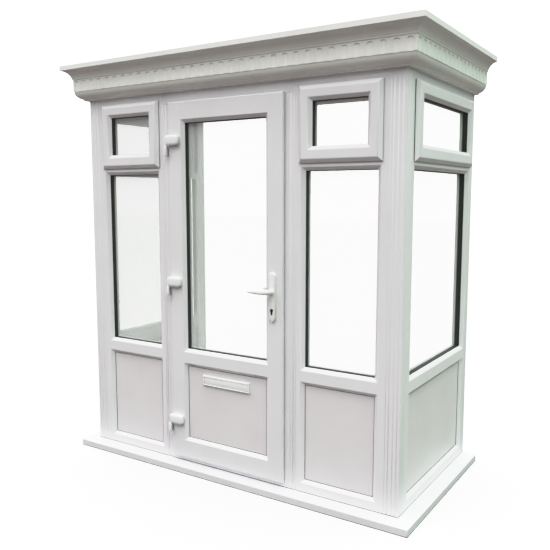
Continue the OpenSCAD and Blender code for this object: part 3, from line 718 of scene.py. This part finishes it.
def lever(bm, face_y, out):
    """A lever that stands out from the backplate at face_y and runs to the left."""
    reach = face_y + out * lever_out
    x, z = plate_x, lever_z
    rings = [((x, face_y, z), (0, out, 0), (0, 0, 1), 0.0155, 0.0155),
             ((x, face_y + out * 0.007, z), (0, out, 0), (0, 0, 1), 0.0153, 0.0153),
             ((x, face_y + out * 0.010, z), (0, out, 0), (0, 0, 1), 0.0125, 0.0125),
             ((x, face_y + out * 0.018, z), (0, out, 0), (0, 0, 1), 0.0108, 0.0118),
             ((x - 0.002, face_y + out * 0.0250, z), (-0.35, out, 0), (0, 0, 1), 0.0106, 0.0124),
             ((x - 0.007, reach - out * 0.001, z), (-1, out * 0.9, 0), (0, 0, 1), 0.0102, 0.0126),
             ((x - 0.015, reach + out * 0.002, z), (-1, out * 0.25, 0), (0, 0, 1), 0.0092, 0.0124)]
    for t, deep, tall, sag in ((0.24, 0.0084, 0.0116, 0.0026), (0.38, 0.0078, 0.0110, 0.0032),
                               (0.52, 0.0072, 0.0105, 0.0032), (0.66, 0.0066, 0.0095, 0.0030),
                               (0.79, 0.0058, 0.0072, 0.0034), (0.90, 0.0048, 0.0043, 0.0042),
                               (0.97, 0.0034, 0.0024, 0.0050), (1.0, 0.0010, 0.0008, 0.0054)):
        rings.append(((x - t * lever_l, reach + out * 0.002, z - sag), (-1, 0, -0.03), (0, 0, 1), deep, tall))
    loft(bm, rings)


lever_z, lever_out, lever_sunk = 1.070, 0.033, 0.0004
lever_l = plate_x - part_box("levers")[0].x
bm = bmesh.new()
lever(bm, plate_low.y + lever_sunk, -1)
lever(bm, plate_high.y - lever_sunk, 1)
piece("lever_pair", bm, "lever", powder_coat, smooth_below=50, stands_for=("levers",))

# %% [markdown]
# ## The key cylinder
# The cylinder has the usual outline of a round plug over a narrow body. From the street it reads as a small dark
# shape:
# its steel is darkened, partly for tarnish and partly as painted shade in the keyhole. Two dark pieces with a fine
# bevel
# stand just proud of each backplate: the plug, and the body below it.

# %% Fit the cylinder ends
key_drop = 0.095
key_z = lever_z - key_drop
bm = bmesh.new()
for face_y, out in ((plate_low.y, -1), (plate_high.y, 1)):
    for radius, z0, z1, proud in ((0.0085, key_z, key_z, 0.0012), (0.0050, key_z - 0.019, key_z - 0.002, 0.0010)):
        rings = [((plate_x, face_y + out * y, (z0 + z1) / 2), (0, out, 0), (0, 0, 1), r, r + (z1 - z0) / 2)
                 for y, r in ((-0.004, radius), (proud - 0.0004, radius), (proud, radius - 0.0005))]
        loft(bm, rings, 32)
piece("cylinder_ends", bm, "door", dark_steel_tarnish_and_painted_shade, smooth_below=40, stands_for=("lock_cylinder",))

# %% [markdown]
# ## The letterplate
# Outside, a shallow frame holds a sprung flap: narrow rims at the sides and foot, and a wider one on top, where the
# flap is hung. The flap is a thin slab with rounded edges and nearly fills the frame, so a fine dark line shows
# round it. Inside, a plain frame hides the cut in the panel.

# %% Frame the letter slot
letter_low, letter_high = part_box("letterplates")
slot_low, slot_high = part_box("letter_flap")
rim, top_rim = 0.007, 0.009
panel_low, panel_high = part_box("door_panel")


def letter_frame(bm, face_y, out, thick):
    """A rectangular frame with a pillowed rim round the letter slot, on the panel's face at face_y."""
    base = upright_face(bm, letter_low.x, letter_high.x, face_y, letter_low.z, letter_high.z)
    cap = pushed(bm, [base], out * (thick - 0.003))[0]
    for width, rise in ((0.0012, 0.002), (0.0015, 0.001), (rim - 0.0037, 0), (0.001, -0.001)):
        bmesh.ops.inset_region(bm, faces=[cap], thickness=width, use_even_offset=True)
        bmesh.ops.translate(bm, vec=(0, out * rise, 0), verts=cap.verts)
    high = max(v.co.z for v in cap.verts)
    bmesh.ops.translate(bm, vec=(0, 0, rim - top_rim), verts=[v for v in cap.verts if v.co.z > high - 0.001])
    inner = pushed(bm, [cap], -out * (thick - 0.001))
    bmesh.ops.delete(bm, geom=inner + [base, cap], context="FACES_ONLY")
    bmesh.ops.recalc_face_normals(bm, faces=bm.faces)


bm = bmesh.new()
letter_frame(bm, panel_low.y, -1, panel_low.y - letter_low.y)
letter_frame(bm, panel_high.y, 1, letter_high.y - panel_high.y)
piece("letter_frames", bm, "door", powder_coat, smooth_below=40, stands_for=("letterplates",))
pin_reach, flap_bevel = 0.005, 0.0012
bm = bmesh.new()
slab(bm, slot_low.x + pin_reach, slot_high.x - pin_reach, slot_low.y, slot_high.y, slot_low.z, slot_high.z,
     flap_bevel)
piece("sprung_flap", bm, "letter_flap", powder_coat, smooth_below=60, stands_for=("letter_flap",))

# %% [markdown]
# ## The ceiling
# Inside, the ceiling is lined with tongued plastic boards that run from the front to the house. Each is a slab with
# a small bevel on its edges, and two bevels side by side make the V-shaped line that is seen between boards.

# %% Line the ceiling
ceil_low, ceil_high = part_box("ceiling")
board_wanted, board_bevel = 0.1, 0.002
boards = round((ceil_high.x - ceil_low.x) / board_wanted)
board = (ceil_high.x - ceil_low.x) / boards
bm = bmesh.new()
for i in range(boards):
    slab(bm, ceil_low.x + i * board, ceil_low.x + (i + 1) * board, ceil_low.y, ceil_high.y, ceil_low.z,
         ceil_high.z, board_bevel)
piece("ceiling_boards", bm, "porch", panel_skin, stands_for=("ceiling",))

# %% [markdown]
# ## The rest of the drawn nodes
# Some drawn nodes already have the right shape, and only need their real finish: the panels, the beads inside, the
# vents' seals, the lock strip, the roof deck and the timber behind it. A finish goes into the node's own slots.

# %% Dress the drawn nodes
finishes = {"white_plastic": white_plastic, "infill_panel": panel_skin, "white_moulding": gel_coat,
            "coated_metal": powder_coat, "rubber": black_rubber_and_painted_shadow, "steel": satin_steel, "timber": sawn_timber,
            "glass": clear_glass}
slots = {part["node"]: part["material_slot"] for part in frame["record"]["subparts"]}
for node, obj in frame["nodes"].items():
    for place in obj.material_slots:
        place.material = finishes[slots[node]]
for place in frame["nodes"]["roof_deck"].material_slots:
    place.material = roof_gel
# The drawn lock cylinder takes the same darkened steel, partly tarnish and partly painted shade
for place in frame["nodes"]["lock_cylinder"].material_slots:
    place.material = dark_steel_tarnish_and_painted_shade
print("dressed", len(frame["nodes"]), "nodes")
